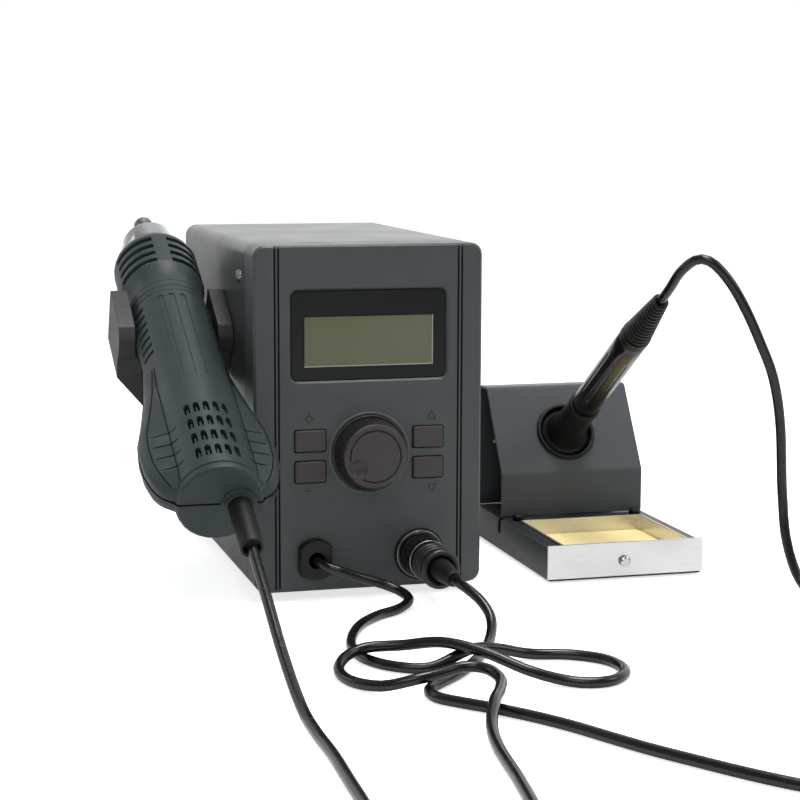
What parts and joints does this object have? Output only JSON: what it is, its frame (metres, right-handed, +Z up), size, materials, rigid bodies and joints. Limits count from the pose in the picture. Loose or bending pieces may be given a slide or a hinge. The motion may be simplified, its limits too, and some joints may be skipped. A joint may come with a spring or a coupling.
{
  "type": "rework station",
  "caption": "Hot-air and soldering rework station with display unit, hot-air handle in a side cradle and soldering iron in its stand.",
  "frame": {"origin": "on the table, under the middle of the whole set without its cords", "axes": "+Z up, -Y out of the control unit's front, +X towards the iron stand"},
  "size_m": [0.3218, 0.5116, 0.1574],
  "materials": {
    "case_grey": "fine matte moulded texture, dark grey",
    "cover_grey": "semi-gloss grey powder coat on folded sheet",
    "window_dark": "polished tinted window, nearly black",
    "control_grey": "satin moulded plastic, dark warm grey",
    "black_plastic": "satin black plastic",
    "gloss_black": "polished black plastic",
    "screen_green": "liquid crystal display behind glass, grey green",
    "board_green": "green solder resist on circuit board",
    "handle_grey": "fine matte moulded texture, dark blue grey",
    "chrome": "bright plated",
    "steel": "brushed stainless steel",
    "ceramic": "dry white ceramic",
    "rubber": "matte black rubber",
    "sponge_yellow": "open-pored dry cellulose sponge, yellow",
    "cord_black": "smooth satin black jacket"
  },
  "bodies": {
    "station": {"bezel": "case_grey", "chassis": "steel", "cord_gland": "black_plastic", "cover": "cover_grey", "cradle": "cover_grey", "display_board": "board_green", "display_window": "window_dark", "encoder": "steel", "foot_front_left": "rubber", "foot_front_right": "rubber", "foot_rear_left": "rubber", "foot_rear_right": "rubber", "handle_cord": "cord_black", "heat_sink": "steel", "iron_cord": "cord_black", "lcd_module": "screen_green", "main_board": "board_green", "pad_front_left": "rubber", "pad_front_right": "rubber", "pad_rear_left": "rubber", "pad_rear_right": "rubber", "plug_body": "black_plastic", "plug_boot": "rubber", "power_inlet": "black_plastic", "rear_panel": "cover_grey", "rocker_frame": "black_plastic", "socket_nut": "chrome", "socket_shell": "black_plastic", "stand_base": "cover_grey", "stand_funnel": "rubber", "stand_hood": "cover_grey", "transformer": "steel"},
    "control_knob": {"knob": "control_grey", "encoder_shaft": "steel"},
    "upper_left_button": {"button_1": "control_grey"},
    "lower_left_button": {"button_2": "control_grey"},
    "upper_right_button": {"button_3": "control_grey"},
    "lower_right_button": {"button_4": "control_grey"},
    "power_rocker": {"rocker": "black_plastic"},
    "plug_coupling": {"plug_ring": "black_plastic"},
    "hot_air_handle": {"handle_upper_shell": "handle_grey", "handle_lower_shell": "handle_grey", "head_sleeve": "handle_grey", "nozzle": "chrome", "heater_tube": "ceramic", "blower_motor": "steel", "handle_boot": "rubber"},
    "blower_rotor": {"fan_impeller": "black_plastic"},
    "sponge_tray": {"stand_tray": "steel", "tray_knob": "chrome", "sponge": "sponge_yellow"},
    "soldering_iron": {"iron_tip": "chrome", "iron_barrel": "steel", "iron_nut": "steel", "iron_grip": "rubber", "iron_handle": "gloss_black", "iron_boot": "rubber"}
  },
  "joints": [
    {"name": "knob_turn", "type": "hinge", "parent": "station", "child": "control_knob", "pos_m": [-0.02665, -0.04775, 0.06298], "axis": [0, 1, 0], "continuous": true},
    {"name": "upper_left_press", "type": "slide", "parent": "station", "child": "upper_left_button", "axis": [0, 1, 0], "range_m": [0, 0.0008], "stiffness_N_per_m": 200, "springref_m": -0.002},
    {"name": "lower_left_press", "type": "slide", "parent": "station", "child": "lower_left_button", "axis": [0, 1, 0], "range_m": [0, 0.0008], "stiffness_N_per_m": 200, "springref_m": -0.002},
    {"name": "upper_right_press", "type": "slide", "parent": "station", "child": "upper_right_button", "axis": [0, 1, 0], "range_m": [0, 0.0008], "stiffness_N_per_m": 200, "springref_m": -0.002},
    {"name": "lower_right_press", "type": "slide", "parent": "station", "child": "lower_right_button", "axis": [0, 1, 0], "range_m": [0, 0.0008], "stiffness_N_per_m": 200, "springref_m": -0.002},
    {"name": "rocker_tip", "type": "hinge", "parent": "station", "child": "power_rocker", "pos_m": [-0.00815, 0.12325, 0.032], "axis": [1, 0, 0], "range_deg": [0, 24]},
    {"name": "coupling_turn", "type": "hinge", "parent": "station", "child": "plug_coupling", "pos_m": [-0.00435, -0.052, 0.01797], "axis": [0, 1, 0], "continuous": true},
    {"name": "handle_lift", "type": "slide", "parent": "station", "child": "hot_air_handle", "axis": [0, -0.4415, 0.8973], "range_m": [0, 0.08]},
    {"name": "rotor_spin", "type": "hinge", "parent": "hot_air_handle", "child": "blower_rotor", "pos_m": [-0.10165, -0.07595, 0.067], "axis": [0, -0.4415, 0.8973], "continuous": true},
    {"name": "tray_slide", "type": "slide", "parent": "station", "child": "sponge_tray", "axis": [0, -1, 0], "range_m": [0, 0.04]},
    {"name": "iron_turn", "type": "hinge", "parent": "station", "child": "soldering_iron", "pos_m": [0.09255, 0.04052, 0.05455], "axis": [0, -0.8415, 0.5402], "range_deg": [-90, 90]}
  ]
}
